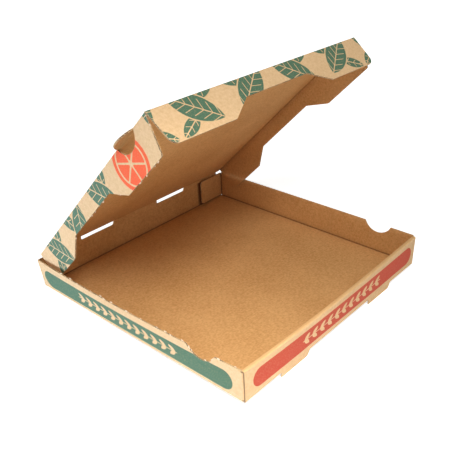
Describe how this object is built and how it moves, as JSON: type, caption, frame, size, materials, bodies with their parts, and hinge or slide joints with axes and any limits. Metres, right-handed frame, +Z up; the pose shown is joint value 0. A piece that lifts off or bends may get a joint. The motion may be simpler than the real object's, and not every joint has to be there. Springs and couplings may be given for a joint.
{
  "type": "pizza box",
  "caption": "Folded corrugated kraft pizza box: shallow tray with a double front wall on locking feet, and a hinged tuck-in lid with half-moon finger grips, shown half open.",
  "frame": {"origin": "middle of the box's footprint, level with the lower edges of the two front feet", "axes": "+X along the hinge, +Y from the front wall to the hinge wall, +Z up"},
  "size_m": [0.3474, 0.34, 0.2809],
  "materials": {
    "tray_board": "matte kraft liner",
    "lid_board": "matte printed kraft liner"
  },
  "bodies": {
    "tray": {"tray": "tray_board"},
    "lid": {"lid": "lid_board"}
  },
  "joints": [
    {"name": "lid_hinge", "type": "hinge", "parent": "tray", "child": "lid", "pos_m": [0, 0.1692, 0.049], "axis": [-1, 0, 0], "range_deg": [-44.5, 135.5]}
  ]
}
